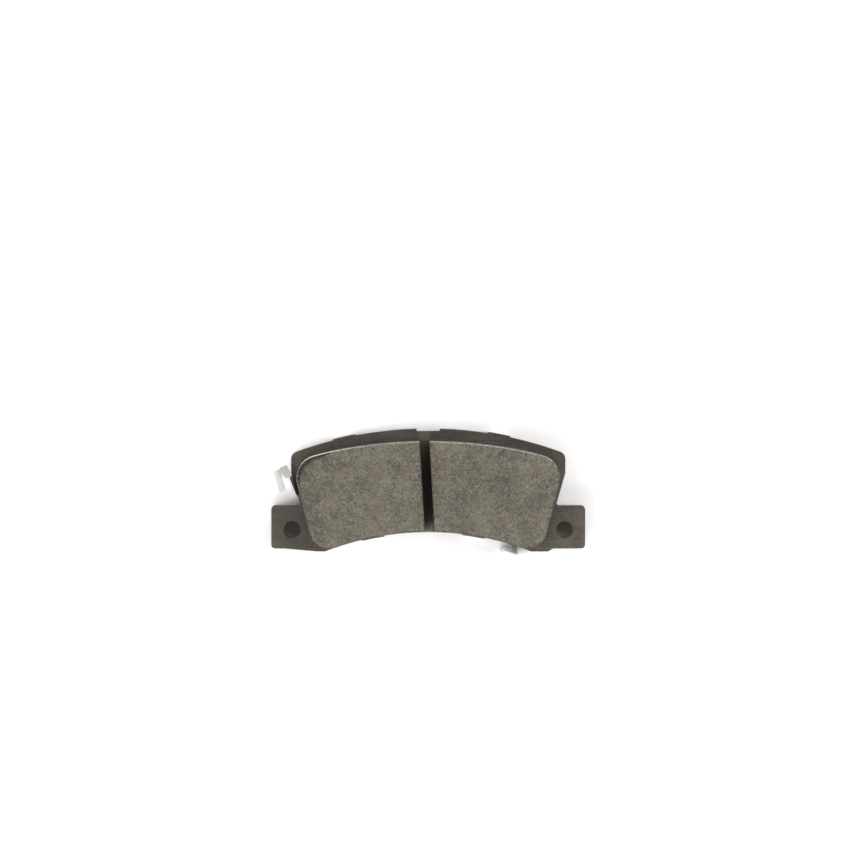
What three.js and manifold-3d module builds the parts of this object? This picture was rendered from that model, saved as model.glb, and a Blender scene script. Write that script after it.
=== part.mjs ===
// A disc brake pad, lying on its back with its friction face up.
//
// Frame: +X runs along the pad, +Y points away from the disc's axle, and +Z is the outward normal
// of the friction face. The origin is on the back of the outer shim, midway between the plate's
// inner and outer arcs. All sizes are in millimetres.

import * as THREE from "three";
import { mergeVertices } from "three/addons/utils/BufferGeometryUtils.js";
import Module from "manifold-3d";

const wasm = await Module();
wasm.setup();

// ---------------------------------------------------------------- driving dimensions

// Steel backing plate. Its long edges are arcs about the disc's axle.
const plate = {
  thickness: 5.0,
  height: 38.4, // from the inner arc to the outer arc
  innerRadius: 105.5,
  bodyHalfLength: 50.9,
  shoulderRadius: 2.6,
  waistInset: 3.5, // the body narrows by this much where it meets the ears
  waistRise: 12.2, // over this height above the ears
  waistFillet: 0.9,
  bendRadius: 3.0,
  notchWidth: 8.7, // locating notch at the middle of the outer arc
  notchDepth: 0.9,
  notchFillet: 0.3,
};

// Abutment ears, one at each end, which slide in the caliper bracket.
const ear = {
  reach: 7.4, // beyond the body
  height: 15.9,
  tipRadius: 1.4,
  holeRadius: 3.15,
  holeFromTip: 7.7,
  holeBelowTop: 8.9,
};

// Feet: the plate's lowest stretch, between the ears and the inner arc.
const foot = {
  drop: 7.2, // below the inner arc's apex
  insetLeft: 9.9, // from the body's end to the foot's outer corner
  insetRight: 6.4,
  step: 1.1, // up to the ear's lower edge
  rampLeft: 12.5, // run of the step
  rampRight: 1.8,
  cornerRadius: 1.0,
};

// Holes through the plate that the underlayer fills, so that it can't shear off.
const keyHole = {
  radius: 4.0,
  offsets: [-35.0, -16.0, 16.0, 35.0],
  level: 1.5,
  clearance: 0.3,
};

// Friction lining, moulded on the underlayer and parted into two blocks by a slot.
const lining = {
  thickness: 8.5,
  sideMargin: 2.1, // inside the body's ends
  topMargin: 4.3, // below the outer arc's apex
  topRadius: 177.0,
  topCornerRadius: 9.0,
  bendRise: 9.8, // height above the ears at which the sides start to lean in
  bendRadius: 6.0,
  footReach: 3.5, // of its lower corners, past the inner arc's ends
  footCornerRadius: 7.3,
  edgeInset: 0.5, // inside the plate's inner arc
};

const slot = {
  width: 3.6,
  tiltDegrees: 3.3, // its upper end leans to -X
  offset: -0.55, // of its middle from the pad's middle
};

const underlayer = {
  thickness: 1.5,
  flange: 0.3, // beyond the lining all round
};

// Anti-squeal shims on the back: rubber and steel under a stainless outer shim with edge tabs.
const shim = {
  rubberThickness: 0.3,
  steelThickness: 0.5,
  outerThickness: 0.4,
  margin: 1.2, // inside the plate's edge
  cornerRadius: 2.4,
  tabWidth: 8.5,
  tabRise: 3.4, // up the plate's edge
  tabClearance: 0.1,
  tabRoot: 1.0, // overlap of each tab with the sheet
  topTabs: [-31.2, 26.4],
  bottomTabs: [-20.4, 16.8],
  windowLength: 9.0, // round-ended grease windows in the outer shim
  windowWidth: 4.0,
  windowOffsets: [-27.0, -9.0, 9.0, 27.0],
  windowLevel: 3.0,
};

// Wear indicators: two spring-steel stampings, each with a base on the plate's back.
const indicator = {
  sheet: 0.7,
  warningGap: 2.0, // lining left above the plate when the tip meets the disc
  edgeClearance: 0.35, // from the plate's edge to a leg or an arm
  pocketClearance: 0.3, // between each base and the shims around it
};

// The indicator at the -X end. Its points are [out from the body's end, up from the lining's bend].
const sideIndicator = {
  legFoot: -6.3,
  legTop: 1.1,
  legSplay: 0.7, // away from the plate's edge at the leg's top
  baseInner: [
    [-8.6, -5.6, 2.2],
    [-7.6, 0.9, 2.2],
  ],
  arm: [
    [indicator.edgeClearance, 0.6, 0.4],
    [indicator.edgeClearance, 3.0, 0.4],
    [1.7, 5.5, 0.5],
    [4.6, 4.4, 0.5],
    [2.2, 0.3, 0.3],
  ],
  finger: [
    [4.0, 3.9, 0.3],
    [6.8, 3.2, 0.7],
    [4.1, -5.1, 0.4],
    [1.75, -4.1, 0.4],
  ],
  rivet: [-5.3, -2.4],
};

// The indicator below the inner arc. Its points are [along the pad, up from the plate's edge].
const lowerIndicator = {
  offset: 32.2,
  base: [
    [-3.4, 1.9, 1.6],
    [3.0, 0.9, 1.6],
    [4.0, 6.6, 1.8],
    [-2.6, 8.2, 1.8],
  ],
  tongueWidth: 1.9,
  tongueRoot: 2.8, // into the base
  tongueReach: 3.8, // beyond the plate's edge
  wallLength: 6.6,
  wallGap: 2.7, // from the plate's edge to the wall's free end
  tipLength: 1.8,
  tipWidth: 1.5,
  rivet: [0.2, 4.7],
};

const rivet = {
  shankRadius: 1.5,
  headRadius: 2.5, // formed over the indicator's base
  countersinkRadius: 2.4, // flush with the plate's front
  countersinkDepth: 0.9,
  clearance: 0.3,
};

// Smoothness of round stretches.
const ARC_STEPS = 24;
const FILLET_STEPS = 6;
const CIRCLE_STEPS = 32;

// How far a cutter runs past the faces it cuts, and how deep two joined solids share a place.
const PAST = 1.0;
const JOIN = 0.1;

// ---------------------------------------------------------------- derived places

const axleY = -(plate.innerRadius + plate.height / 2);
const outerRadius = plate.innerRadius + plate.height;
const topY = plate.height / 2;
const footY = -plate.height / 2 - foot.drop;
const earBottomY = footY + foot.step;
const earTopY = earBottomY + ear.height;
const tipX = plate.bodyHalfLength + ear.reach;
const waistX = plate.bodyHalfLength - plate.waistInset;
const footInnerX = Math.sqrt(plate.innerRadius ** 2 - (footY - axleY) ** 2);
const sideBendY = earTopY + plate.waistRise;
const liningBendY = earTopY + lining.bendRise;

const shimStack = shim.rubberThickness + shim.steelThickness + shim.outerThickness;
const plateBackZ = shimStack;
const plateFrontZ = plateBackZ + plate.thickness;
const liningBackZ = plateFrontZ + underlayer.thickness;
const baseBackZ = plateBackZ - indicator.sheet;
const indicatorTopZ = plateFrontZ + indicator.warningGap;

// ---------------------------------------------------------------- outline helpers

const mirrored = (corners) => corners.map(([x, y, r]) => [-x, y, r]).reverse();
const arcY = (radius, x, centreY = axleY) => centreY + Math.sqrt(radius ** 2 - x ** 2);

// Corners along an arc whose centre is on x = 0, between two values of x, ends left out.
function arcCorners(radius, fromX, toX, centreY = axleY, steps = ARC_STEPS) {
  const from = Math.asin(fromX / radius);
  const to = Math.asin(toX / radius);
  const corners = [];
  for (let i = 1; i < steps; i++) {
    const angle = from + ((to - from) * i) / steps;
    corners.push([radius * Math.sin(angle), centreY + radius * Math.cos(angle), 0]);
  }
  return corners;
}

// Leaves room for the round corners at an arc's ends, by dropping the arc's corners near them.
function clearOf(corners, ends) {
  return corners.filter(([x, y]) =>
    ends.every(([ex, ey, radius]) => Math.hypot(x - ex, y - ey) > 1.3 * radius),
  );
}

// Moves each edge of a counter-clockwise outline outwards by a distance, or inwards if negative.
function grown(corners, distance) {
  return corners.map(([x, y, r], i) => {
    const [px, py] = corners.at(i - 1);
    const [nx, ny] = corners[(i + 1) % corners.length];
    const before = new THREE.Vector2(y - py, px - x).normalize();
    const after = new THREE.Vector2(ny - y, x - nx).normalize();
    const move = before.clone().add(after).multiplyScalar(distance / (1 + before.dot(after)));
    return [x + move.x, y + move.y, r ? Math.max(r + distance, 0.2) : 0];
  });
}

// Half the angle between the two edges that meet at a corner.
function halfAngle(corner, previous, next) {
  const back = new THREE.Vector2(previous[0] - corner[0], previous[1] - corner[1]);
  const on = new THREE.Vector2(next[0] - corner[0], next[1] - corner[1]);
  return Math.abs(Math.atan2(back.cross(on), back.dot(on))) / 2;
}

// How far along its two edges each corner's fillet reaches. Two fillets on one edge share it.
function filletReaches(corners) {
  const count = corners.length;
  const wanted = corners.map((corner, i) => {
    const half = halfAngle(corner, corners.at(i - 1), corners[(i + 1) % count]);
    return corner[2] ? corner[2] / Math.tan(half) : 0;
  });
  return wanted.map((reach, i) => {
    const shares = [(i + count - 1) % count, (i + 1) % count].map((j) => {
      const edge = Math.hypot(corners[j][0] - corners[i][0], corners[j][1] - corners[i][1]);
      return Math.min(1, (0.98 * edge) / (reach + wanted[j]));
    });
    return reach ? reach * Math.min(...shares) : 0;
  });
}

// A closed shape whose corners are [x, y, radius].
function outline(corners) {
  const points = [];
  const reaches = filletReaches(corners);
  corners.forEach((entry, i) => {
    const corner = new THREE.Vector2(entry[0], entry[1]);
    const reach = reaches[i];
    if (!reach) {
      points.push(corner);
      return;
    }
    const [previous, next] = [corners.at(i - 1), corners[(i + 1) % corners.length]];
    const half = halfAngle(entry, previous, next);
    const back = new THREE.Vector2(previous[0], previous[1]).sub(corner).normalize();
    const on = new THREE.Vector2(next[0], next[1]).sub(corner).normalize();
    const centre = back
      .clone()
      .add(on)
      .normalize()
      .multiplyScalar(reach / Math.cos(half))
      .add(corner);
    const start = back.multiplyScalar(reach).add(corner).sub(centre);
    const end = on.multiplyScalar(reach).add(corner).sub(centre);
    const turn = Math.atan2(start.cross(end), start.dot(end));
    for (let step = 0; step <= FILLET_STEPS; step++) {
      const angle = (turn * step) / FILLET_STEPS;
      points.push(start.clone().rotateAround(new THREE.Vector2(), angle).add(centre));
    }
  });
  return new THREE.Shape(points);
}

// Part of a ring about the disc's axle, centred on x and as wide as the shim's tabs.
function tabSector(innerRadius, outerRadius, x) {
  const corners = (radius, steps) => {
    const middle = Math.asin(x / radius);
    const half = shim.tabWidth / 2 / radius;
    return Array.from({ length: steps + 1 }, (_, i) => {
      const angle = middle + half * ((2 * i) / steps - 1);
      return [radius * Math.sin(angle), axleY + radius * Math.cos(angle), 0];
    });
  };
  return outline([...corners(innerRadius, FILLET_STEPS), ...corners(outerRadius, FILLET_STEPS).reverse()]);
}

function roundHole(x, y, radius) {
  const hole = new THREE.Path();
  hole.absarc(x, y, radius, 0, 2 * Math.PI, true);
  return hole;
}

// ---------------------------------------------------------------- solid helpers

function solid(geometry) {
  const bare = geometry.clone();
  bare.deleteAttribute("normal");
  bare.deleteAttribute("uv");
  const merged = mergeVertices(bare);
  return new wasm.Manifold(
    new wasm.Mesh({
      numProp: 3,
      vertProperties: merged.attributes.position.array,
      triVerts: new Uint32Array(merged.index.array),
    }),
  );
}

function geometryOf(manifold) {
  const mesh = manifold.getMesh();
  const geometry = new THREE.BufferGeometry();
  geometry.setAttribute("position", new THREE.BufferAttribute(mesh.vertProperties, 3));
  geometry.setIndex(new THREE.BufferAttribute(mesh.triVerts, 1));
  geometry.computeVertexNormals();
  return geometry;
}

// A flat shape raised from one level to another.
function slab(shape, fromZ, toZ) {
  const geometry = new THREE.ExtrudeGeometry(shape, {
    depth: toZ - fromZ,
    bevelEnabled: false,
    curveSegments: CIRCLE_STEPS,
  });
  return solid(geometry.translate(0, 0, fromZ));
}

// A round pin or cone along Z.
function pin([x, y], lowRadius, highRadius, fromZ, toZ) {
  const geometry = new THREE.CylinderGeometry(highRadius, lowRadius, toZ - fromZ, CIRCLE_STEPS);
  return solid(geometry.rotateX(Math.PI / 2).translate(x, y, (fromZ + toZ) / 2));
}

// ---------------------------------------------------------------- plate

// Half the plate's length at a height above the ears.
function plateHalfLength(y) {
  const lean = Math.max(sideBendY - y, 0) / plate.waistRise;
  return plate.bodyHalfLength - lean * plate.waistInset;
}

// Right-hand side of the plate, from the foot's inner end up to the shoulder.
function plateSide(footInset, ramp, hasEar) {
  const footX = plate.bodyHalfLength - footInset;
  const lower = [
    [footInnerX, footY, 0],
    [footX, footY, foot.cornerRadius],
  ];
  const tip = [
    [footX + ramp, earBottomY, foot.cornerRadius],
    [tipX, earBottomY, ear.tipRadius],
    [tipX, earTopY, ear.tipRadius],
    [waistX, earTopY, plate.waistFillet],
  ];
  const upper = [
    [plate.bodyHalfLength, sideBendY, plate.bendRadius],
    [plate.bodyHalfLength, arcY(outerRadius, plate.bodyHalfLength), plate.shoulderRadius],
  ];
  return [...lower, ...(hasEar ? tip : [[waistX, earTopY, 0]]), ...upper];
}

function topArc(sides) {
  return clearOf(
    arcCorners(outerRadius, plate.bodyHalfLength, -plate.bodyHalfLength),
    sides.filter((corner) => corner[1] > sideBendY),
  );
}

function plateOutline() {
  const right = plateSide(foot.insetRight, foot.rampRight, true);
  const left = mirrored(plateSide(foot.insetLeft, foot.rampLeft, true));
  const halfNotch = plate.notchWidth / 2;
  const floorY = topY - plate.notchDepth;
  const lip = arcY(outerRadius, halfNotch);
  const arc = topArc([...right, ...left]);
  return outline([
    ...right,
    ...arc.filter(([x]) => x > halfNotch),
    [halfNotch, lip, 0],
    [halfNotch, floorY, plate.notchFillet],
    [-halfNotch, floorY, plate.notchFillet],
    [-halfNotch, lip, 0],
    ...arc.filter(([x]) => x < -halfNotch),
    ...left,
    ...arcCorners(plate.innerRadius, left.at(-1)[0], right[0][0]),
  ]);
}

const keyHoleCentres = keyHole.offsets.map((x) => [x, keyHole.level]);
const earHoleCentres = [-1, 1].map((side) => [
  side * (tipX - ear.holeFromTip),
  earTopY - ear.holeBelowTop,
]);

function backingPlate() {
  const shape = plateOutline();
  keyHoleCentres.forEach(([x, y]) => shape.holes.push(roundHole(x, y, keyHole.radius)));
  earHoleCentres.forEach(([x, y]) => shape.holes.push(roundHole(x, y, ear.holeRadius)));
  let body = slab(shape, plateBackZ, plateFrontZ);
  rivetCentres().forEach((centre) => {
    body = body.subtract(rivetSolid(centre, rivet.clearance));
  });
  return geometryOf(body);
}

// ---------------------------------------------------------------- lining and underlayer

const liningTopCentreY = topY - lining.topMargin - lining.topRadius;

function liningCorners() {
  const endX = plate.bodyHalfLength - lining.sideMargin;
  const footX = footInnerX + lining.footReach;
  const lowRadius = plate.innerRadius + lining.edgeInset;
  const right = [
    [footX, arcY(lowRadius, footX), lining.footCornerRadius],
    [endX, liningBendY, lining.bendRadius],
    [endX, arcY(lining.topRadius, endX, liningTopCentreY), lining.topCornerRadius],
  ];
  const left = mirrored(right);
  const ends = [...right, ...left];
  return [
    ...right,
    ...clearOf(arcCorners(lining.topRadius, endX, -endX, liningTopCentreY), ends),
    ...left,
    ...clearOf(arcCorners(lowRadius, -footX, footX), ends),
  ];
}

// The region of the plan on one side of the slot: -1 is the -X side, 1 the +X side.
function besideSlot(side) {
  const tilt = THREE.MathUtils.degToRad(slot.tiltDegrees);
  const far = tipX + outerRadius;
  const wall = [slot.offset + (side * slot.width) / 2 / Math.cos(tilt), Math.tan(tilt)];
  const wallX = (y) => wall[0] - wall[1] * y;
  return new THREE.Shape([
    new THREE.Vector2(wallX(-far), -far),
    new THREE.Vector2(side * 2 * far, -far),
    new THREE.Vector2(side * 2 * far, far),
    new THREE.Vector2(wallX(far), far),
  ]);
}

function frictionBlock(side) {
  const whole = slab(outline(liningCorners()), liningBackZ, liningBackZ + lining.thickness);
  const region = slab(besideSlot(side), liningBackZ - PAST, liningBackZ + lining.thickness + PAST);
  return geometryOf(whole.intersect(region));
}

function underlayerBed() {
  let bed = slab(outline(grown(liningCorners(), underlayer.flange)), plateFrontZ, liningBackZ);
  const plugRadius = keyHole.radius - keyHole.clearance;
  keyHoleCentres.forEach((centre) => {
    bed = bed.add(pin(centre, plugRadius, plugRadius, plateBackZ, plateFrontZ + JOIN));
  });
  return geometryOf(bed);
}

// ---------------------------------------------------------------- rivets

// Rivet along Z: head behind the indicator's base, shank through it, countersunk at the front.
function rivetSolid(centre, clearance) {
  const shank = rivet.shankRadius + clearance;
  const sinkZ = plateFrontZ - rivet.countersinkDepth - clearance;
  return pin(centre, shank, shank, 0, plateFrontZ)
    .add(pin(centre, shank, rivet.countersinkRadius + clearance, sinkZ, plateFrontZ))
    .add(pin(centre, rivet.headRadius + clearance, rivet.headRadius + clearance, 0, baseBackZ));
}

function rivetCentres() {
  return [place(sidePlace, sideIndicator.rivet), place(lowerPlace, lowerIndicator.rivet)];
}

// ---------------------------------------------------------------- wear indicators

// Each indicator's own frame in plan: an origin and the direction of its first coordinate.
const sidePlace = { x: -plate.bodyHalfLength, y: liningBendY, sign: -1 };
const lowerPlace = {
  x: lowerIndicator.offset,
  y: arcY(plate.innerRadius, lowerIndicator.offset),
  sign: 1,
};

function place(frame, [x, y, ...radius]) {
  return [frame.x + frame.sign * x, frame.y + y, ...radius];
}

// Places corners and keeps them counter-clockwise.
function placed(frame, corners) {
  const moved = corners.map((corner) => place(frame, corner));
  const area = THREE.ShapeUtils.area(moved.map(([x, y]) => new THREE.Vector2(x, y)));
  return area < 0 ? moved.reverse() : moved;
}

// Corners of a straight strip of some width along the line between two plan points.
function strip([fromX, fromY], [toX, toY], width) {
  const along = new THREE.Vector2(toX - fromX, toY - fromY).normalize();
  const half = new THREE.Vector2(-along.y, along.x).multiplyScalar(width / 2);
  return [
    [fromX - half.x, fromY - half.y, 0],
    [toX - half.x, toY - half.y, 0],
    [toX + half.x, toY + half.y, 0],
    [fromX + half.x, fromY + half.y, 0],
  ];
}

function drilledForRivet(body, centre) {
  const radius = rivet.shankRadius + rivet.clearance;
  return body.subtract(pin(centre, radius, radius, -PAST, plateBackZ + PAST));
}

// Ends of the side indicator's leg, which follows the plate's leaning edge and splays at its top.
function sideLegEnds() {
  const { legFoot, legTop, legSplay } = sideIndicator;
  const stand = indicator.edgeClearance + indicator.sheet / 2;
  const footEndY = liningBendY + legFoot;
  const topEndY = liningBendY + legTop;
  return [
    [-plateHalfLength(footEndY) - stand, footEndY],
    [-plateHalfLength(topEndY) - stand - legSplay, topEndY],
  ];
}

// The base's outer edge lies along the leg, between it and the inner corners.
function sideBaseCorners() {
  const [footEnd, topEnd] = sideLegEnds();
  const [innerFoot, innerTop] = placed(sidePlace, sideIndicator.baseInner);
  return [footEnd, innerFoot, innerTop, topEnd].map(([x, y, r]) => [x, y, r ?? 0]);
}

function sideWearIndicator() {
  const base = slab(outline(sideBaseCorners()), baseBackZ, plateBackZ);
  const leg = slab(outline(strip(...sideLegEnds(), indicator.sheet)), baseBackZ, indicatorTopZ);
  const lowZ = indicatorTopZ - indicator.sheet;
  const arm = slab(outline(placed(sidePlace, sideIndicator.arm)), lowZ, indicatorTopZ);
  const finger = slab(outline(placed(sidePlace, sideIndicator.finger)), lowZ, indicatorTopZ);
  return geometryOf(drilledForRivet(base.add(leg).add(arm).add(finger), rivetCentres()[0]));
}

// The lower indicator's tongue in plan, widened all round and cut off at a reach from the edge.
function tongueOutline(reach, widening) {
  const half = lowerIndicator.tongueWidth / 2 + widening;
  return outline(
    placed(lowerPlace, [
      [-half, lowerIndicator.tongueRoot, 0],
      [-half, -reach, 0],
      [half, -reach, 0],
      [half, lowerIndicator.tongueRoot, 0],
    ]),
  );
}

// The wall stands on the tongue's end and runs back beside the inner arc, with its tip on top.
function lowerWearIndicator() {
  const { tongueWidth, tongueReach, wallLength, wallGap, tipLength, tipWidth } = lowerIndicator;
  const base = slab(outline(placed(lowerPlace, lowerIndicator.base)), baseBackZ, plateBackZ);
  const tongue = slab(tongueOutline(tongueReach, 0), baseBackZ, plateBackZ);
  const start = new THREE.Vector2(
    lowerPlace.x + tongueWidth / 2,
    lowerPlace.y - tongueReach + indicator.sheet / 2,
  );
  const endX = start.x - wallLength;
  const end = new THREE.Vector2(endX, arcY(plate.innerRadius, endX) - wallGap);
  const tipEnd = end.clone().lerp(start, tipLength / end.distanceTo(start));
  const wall = slab(outline(strip(start, end, indicator.sheet)), baseBackZ, indicatorTopZ);
  const tip = slab(outline(strip(end, tipEnd, tipWidth)), indicatorTopZ - indicator.sheet, indicatorTopZ);
  return geometryOf(drilledForRivet(base.add(tongue).add(wall).add(tip), rivetCentres()[1]));
}

// ---------------------------------------------------------------- shims

function shimOutline() {
  const right = plateSide(foot.insetRight, 0, false);
  const left = mirrored(right);
  const corners = [
    ...right,
    ...topArc([...right, ...left]),
    ...left,
    ...arcCorners(plate.innerRadius, left.at(-1)[0], right[0][0]),
  ];
  const inset = grown(corners, -shim.margin);
  return outline(inset.map(([x, y, r]) => [x, y, r ? shim.cornerRadius : 0]));
}

// Room in the shims for the indicators' bases and rivets, out past the shims' edges.
function indicatorPockets() {
  const room = indicator.pocketClearance;
  const cutter = (shape) => slab(shape, -PAST, plateBackZ + PAST);
  return cutter(outline(grown(sideBaseCorners(), room)))
    .add(cutter(outline(grown(placed(lowerPlace, lowerIndicator.base), room))))
    .add(cutter(tongueOutline(0, room)));
}

function plainShim(fromZ, toZ) {
  return slab(shimOutline(), fromZ, toZ).subtract(indicatorPockets());
}

function outerShim() {
  let sheet = plainShim(0, shim.outerThickness);
  const rim = shim.tabClearance + shim.outerThickness;
  const root = shim.margin + shim.tabRoot;
  const tabs = [
    ...shim.topTabs.map((x) => [x, outerRadius - root, outerRadius + rim, outerRadius + shim.tabClearance]),
    ...shim.bottomTabs.map((x) => [
      x,
      plate.innerRadius + root,
      plate.innerRadius - rim,
      plate.innerRadius - shim.tabClearance,
    ]),
  ];
  tabs.forEach(([x, rootRadius, farRadius, nearRadius]) => {
    sheet = sheet
      .add(slab(tabSector(rootRadius, farRadius, x), 0, shim.outerThickness))
      .add(slab(tabSector(nearRadius, farRadius, x), 0, plateBackZ + shim.tabRise));
  });
  shim.windowOffsets.forEach((x) => {
    sheet = sheet.subtract(slab(grease(x, shim.windowLevel), -PAST, shim.outerThickness + PAST));
  });
  return geometryOf(sheet);
}

// A round-ended window for grease.
function grease(x, y) {
  const halfRun = (shim.windowLength - shim.windowWidth) / 2;
  const radius = shim.windowWidth / 2;
  const shape = new THREE.Shape();
  shape.absarc(x + halfRun, y, radius, -Math.PI / 2, Math.PI / 2, false);
  shape.absarc(x - halfRun, y, radius, Math.PI / 2, 1.5 * Math.PI, false);
  return shape;
}

// ---------------------------------------------------------------- the pad

const look = (color, roughness, metalness) =>
  new THREE.MeshStandardMaterial({ color, roughness, metalness });

const painted = look(0x4d4845, 0.75, 0.2);
const friction = look(0x767165, 0.95, 0.05);
const binder = look(0x57524a, 0.95, 0.0);
const rubber = look(0x202022, 0.85, 0.0);
const stainless = look(0xb6b7b4, 0.35, 1.0);
const springSteel = look(0xdcdcd8, 0.3, 1.0);
const plated = look(0xa9aaa6, 0.4, 1.0);

const steelZ = shim.outerThickness;
const rubberZ = steelZ + shim.steelThickness;
const [sideRivet, lowerRivet] = rivetCentres();

const pieces = [
  ["backing_plate", backingPlate(), painted],
  ["underlayer", underlayerBed(), binder],
  ["friction_block_left", frictionBlock(-1), friction],
  ["friction_block_right", frictionBlock(1), friction],
  ["inner_shim_rubber", geometryOf(plainShim(rubberZ, plateBackZ)), rubber],
  ["inner_shim_steel", geometryOf(plainShim(steelZ, rubberZ)), plated],
  ["outer_shim", outerShim(), stainless],
  ["side_wear_indicator", sideWearIndicator(), springSteel],
  ["lower_wear_indicator", lowerWearIndicator(), springSteel],
  ["side_indicator_rivet", geometryOf(rivetSolid(sideRivet, 0)), plated],
  ["lower_indicator_rivet", geometryOf(rivetSolid(lowerRivet, 0)), plated],
];

const pad = new THREE.Group();
pad.name = "brake_pad";
pieces.forEach(([name, geometry, material]) => {
  const mesh = new THREE.Mesh(geometry, material);
  mesh.name = name;
  pad.add(mesh);
});

export default pad;
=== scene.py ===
# %% [markdown]
# # A disc brake pad
# A brake pad is a steel plate with a block of friction material moulded on it. The caliper pushes
# its back, and the block rubs on the disc. Around them sit thin shims that stop squeal and small
# spring-steel feelers that scrape the disc when the block is worn.
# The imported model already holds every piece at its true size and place. This lesson keeps those
# places and gives each piece the surface of the real thing: rolled edges, mineral grains, chips,
# brushed metal. Loading the frame first means that no size is typed twice.

# %% Load the frame
import math
import random

import bmesh
import bpy
import numpy as np
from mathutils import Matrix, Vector, geometry


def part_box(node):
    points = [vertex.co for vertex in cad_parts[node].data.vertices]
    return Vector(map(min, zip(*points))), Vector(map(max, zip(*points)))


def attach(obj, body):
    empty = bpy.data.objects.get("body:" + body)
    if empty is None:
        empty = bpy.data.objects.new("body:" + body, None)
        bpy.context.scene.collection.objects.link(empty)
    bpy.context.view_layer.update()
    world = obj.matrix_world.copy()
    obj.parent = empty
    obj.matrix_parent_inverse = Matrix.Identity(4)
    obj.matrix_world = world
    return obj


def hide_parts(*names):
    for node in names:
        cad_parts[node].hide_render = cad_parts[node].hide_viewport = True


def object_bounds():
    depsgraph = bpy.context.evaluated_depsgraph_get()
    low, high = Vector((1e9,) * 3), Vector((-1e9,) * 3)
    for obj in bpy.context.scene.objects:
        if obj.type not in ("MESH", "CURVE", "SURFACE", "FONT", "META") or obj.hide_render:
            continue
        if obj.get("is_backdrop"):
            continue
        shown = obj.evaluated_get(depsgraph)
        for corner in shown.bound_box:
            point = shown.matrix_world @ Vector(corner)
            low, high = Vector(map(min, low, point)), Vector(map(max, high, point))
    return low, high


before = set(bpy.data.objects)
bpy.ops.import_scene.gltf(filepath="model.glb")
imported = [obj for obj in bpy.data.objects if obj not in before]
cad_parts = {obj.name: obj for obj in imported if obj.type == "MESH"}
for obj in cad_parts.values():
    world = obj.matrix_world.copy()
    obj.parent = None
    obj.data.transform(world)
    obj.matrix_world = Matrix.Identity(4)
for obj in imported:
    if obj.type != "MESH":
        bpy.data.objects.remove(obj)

MM = 0.001
CAD_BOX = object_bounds()
print("frame:", sorted(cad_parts))

# %% [markdown]
# ## Levels and places read from the frame
# The pad lies on its back, so its layers are levels along Z. Each one is read from the box of the
# node that ends there. The slot between the two friction blocks leans a little: its line is found
# from the corners of the two blocks that face each other, because the finish of the plate changes
# along that line too.

# %% Levels
LEFT_LOW, LEFT_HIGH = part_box("friction_block_left")
FACE_Z = LEFT_HIGH.z
BED_Z = LEFT_LOW.z
SLOT_REACH = 4 * MM  # every point of the slot's walls lies this close to the pad's middle


def slot_end(upper):
    """Middle of the slot at one end of the blocks, from the blocks' facing corners."""
    middle = Vector((0, 0))
    for node, sign in (("friction_block_left", 1), ("friction_block_right", -1)):
        points = [v.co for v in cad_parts[node].data.vertices]
        facing = [p for p in points if sign * p.x > -SLOT_REACH]
        corner = max(facing, key=lambda p: p.y) if upper else min(facing, key=lambda p: p.y)
        middle += Vector((corner.x, corner.y)) / 2
    return middle


SLOT_TOP, SLOT_FOOT = slot_end(True), slot_end(False)
SLOT_LINE = (SLOT_TOP - SLOT_FOOT).normalized()
print("slot from", SLOT_FOOT / MM, "to", SLOT_TOP / MM)

# %% [markdown]
# ## Taking a piece from the frame
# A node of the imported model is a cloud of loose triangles. Merged and with its flat areas joined,
# it is a clean solid that a bevel can work on. Real pressed and ground steel never has a sharp
# edge, and the bevel's highlight is what makes a rendered edge look like metal. Weighted normals
# keep the large flat faces flat while the narrow bevels stay round.

# %% Copy and finish pieces
MERGE = 0.004 * MM
FLAT = math.radians(0.4)  # triangles that meet at less than this are one flat face


def placed(name, data):
    """A new object at the origin, linked to the scene."""
    made = bpy.data.objects.new(name, data)
    bpy.context.scene.collection.objects.link(made)
    return made


def cad_solid(node):
    """The node's solid as a bmesh, merged, with flat areas joined into single faces."""
    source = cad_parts[node].data
    solid = bmesh.new()
    points = [solid.verts.new(v.co) for v in source.vertices]
    for polygon in source.polygons:
        solid.faces.new([points[i] for i in polygon.vertices])
    bmesh.ops.remove_doubles(solid, verts=solid.verts, dist=MERGE)
    bmesh.ops.dissolve_limit(solid, angle_limit=FLAT, verts=solid.verts, edges=solid.edges)
    bmesh.ops.recalc_face_normals(solid, faces=solid.faces)
    return solid


def as_object(solid, name):
    """Turns a bmesh into an object at the origin."""
    mesh = bpy.data.meshes.new(name)
    solid.to_mesh(mesh)
    solid.free()
    return placed(name, mesh)


def modified(piece):
    """The mesh that a piece's modifiers make of it. The modifiers are removed."""
    bpy.context.view_layer.update()
    evaluated = piece.evaluated_get(bpy.context.evaluated_depsgraph_get())
    made = bpy.data.meshes.new_from_object(evaluated)
    piece.modifiers.clear()
    return made


def settle(piece):
    """Replaces a piece's mesh by what its modifiers make of it."""
    piece.data = modified(piece)
    piece.data.name = piece.name
    return piece


def smooth(piece):
    """Shades a piece's faces as one curved surface."""
    for polygon in piece.data.polygons:
        polygon.use_smooth = True


def soften(piece, width, segments=2, angle=35):
    """Rounds every edge sharper than an angle and evens out the shading."""
    smooth(piece)
    bevel = piece.modifiers.new("edges", "BEVEL")
    bevel.width = width
    bevel.segments = segments
    bevel.limit_method = "ANGLE"
    bevel.angle_limit = math.radians(angle)
    bevel.use_clamp_overlap = True
    piece.modifiers.new("shading", "WEIGHTED_NORMAL").keep_sharp = True
    return settle(piece)


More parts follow.
